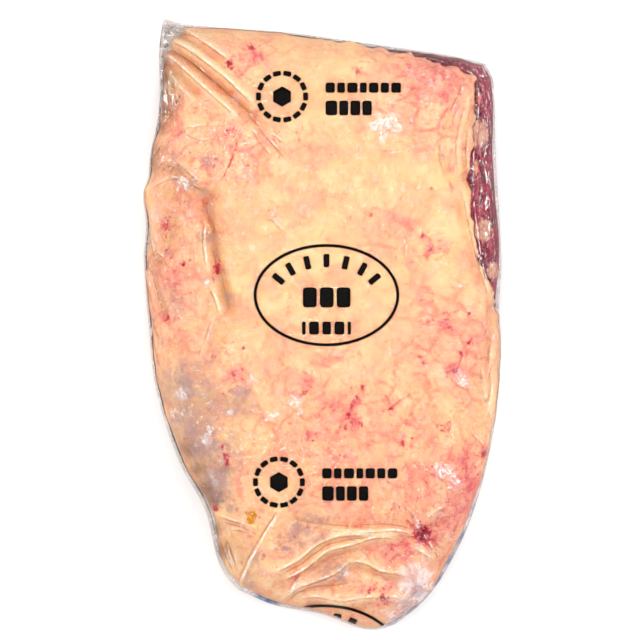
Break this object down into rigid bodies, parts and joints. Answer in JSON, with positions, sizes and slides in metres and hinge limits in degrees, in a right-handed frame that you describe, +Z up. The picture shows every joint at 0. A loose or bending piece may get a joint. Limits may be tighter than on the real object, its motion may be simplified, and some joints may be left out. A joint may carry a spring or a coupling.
{
  "type": "vacuum-packed raw picanha",
  "caption": "Raw picanha, a whole rump cap of beef with its fat up, shrunk tight in a clear vacuum bag and lying on its lean side.",
  "frame": {"origin": "on the surface it lies on, under the middle of the pack's box", "axes": "+X across the pack, towards the flank where the lean is bare; +Y along the pack, from the narrow tip to the thick end; +Z up, out of the fat"},
  "size_m": [0.1632, 0.2792, 0.0486],
  "materials": {
    "lean": "raw beef, moist",
    "fat": "raw beef fat, smooth",
    "film": "clear gloss shrink film"
  },
  "bodies": {
    "root": {"lean_meat": "lean", "fat_cap": "fat", "vacuum_bag": "film"}
  },
  "joints": []
}
